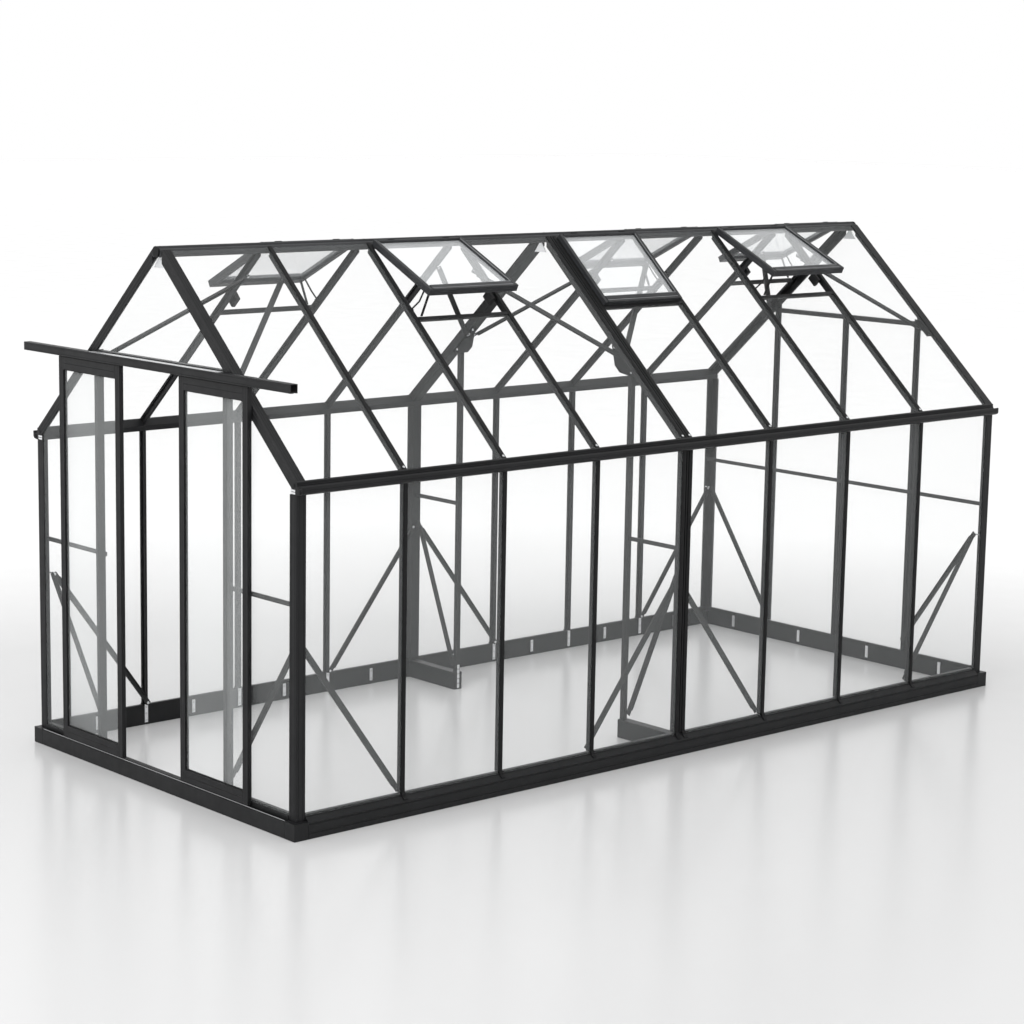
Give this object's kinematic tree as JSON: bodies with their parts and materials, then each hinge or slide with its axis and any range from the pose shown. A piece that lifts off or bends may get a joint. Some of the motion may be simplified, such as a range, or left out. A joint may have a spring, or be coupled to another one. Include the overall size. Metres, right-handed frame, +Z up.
{
  "type": "glass greenhouse",
  "caption": "Long glass greenhouse with a dark aluminium frame, steep roof with top vents, braced walls and two hanging sliding doors in the front gable.",
  "frame": {"origin": "middle of the outline on the ground", "axes": "+Z up, +Y from the door gable to the rear gable along the ridge, +X across the width"},
  "size_m": [2.319, 5.093, 2.665],
  "materials": {
    "frame": "powder-coated charcoal, satin",
    "bar_caps": "powder-coated near black, satin",
    "base": "powder-coated charcoal, satin",
    "door_metal": "powder-coated charcoal, satin",
    "glass": "clear toughened",
    "zinc": "zinc-plated"
  },
  "bodies": {
    "house": {"base_left": "base", "base_right": "base", "base_front": "base", "base_rear": "base", "base_corners": "base", "door_guide": "base", "corner_posts": "frame", "wall_bars_left": "frame", "wall_bars_right": "frame", "wall_caps": "bar_caps", "joint_bars": "frame", "eaves_left": "frame", "eaves_right": "frame", "ridge_beam": "frame", "ridge_ends": "bar_caps", "rafters_left": "frame", "rafters_right": "frame", "rafter_caps": "bar_caps", "gable_rafters": "frame", "gable_bars_rear": "frame", "gable_bars_front": "frame", "gable_rails": "frame", "door_track": "door_metal", "middle_posts": "frame", "middle_sills": "base", "wall_braces": "frame", "gable_braces": "frame", "roof_braces": "frame", "base_clips": "zinc", "wall_glass_left": "glass", "wall_glass_right": "glass", "roof_glass_left": "glass", "roof_glass_right": "glass", "gable_glass_rear": "glass", "gable_glass_front": "glass", "vent_frames": "frame", "vent_glass": "glass", "slam_bars": "frame", "vent_stays": "frame"},
    "left_door": {"left_door_frame": "door_metal", "left_door_glass": "glass", "left_door_hangers": "zinc"},
    "right_door": {"right_door_frame": "door_metal", "right_door_glass": "glass", "right_door_hangers": "zinc"}
  },
  "joints": [
    {"name": "left_door_slide", "type": "slide", "parent": "house", "child": "left_door", "axis": [-1, 0, 0], "range_m": [-0.288, 0.302]},
    {"name": "right_door_slide", "type": "slide", "parent": "house", "child": "right_door", "axis": [1, 0, 0], "range_m": [-0.218, 0.34]}
  ]
}
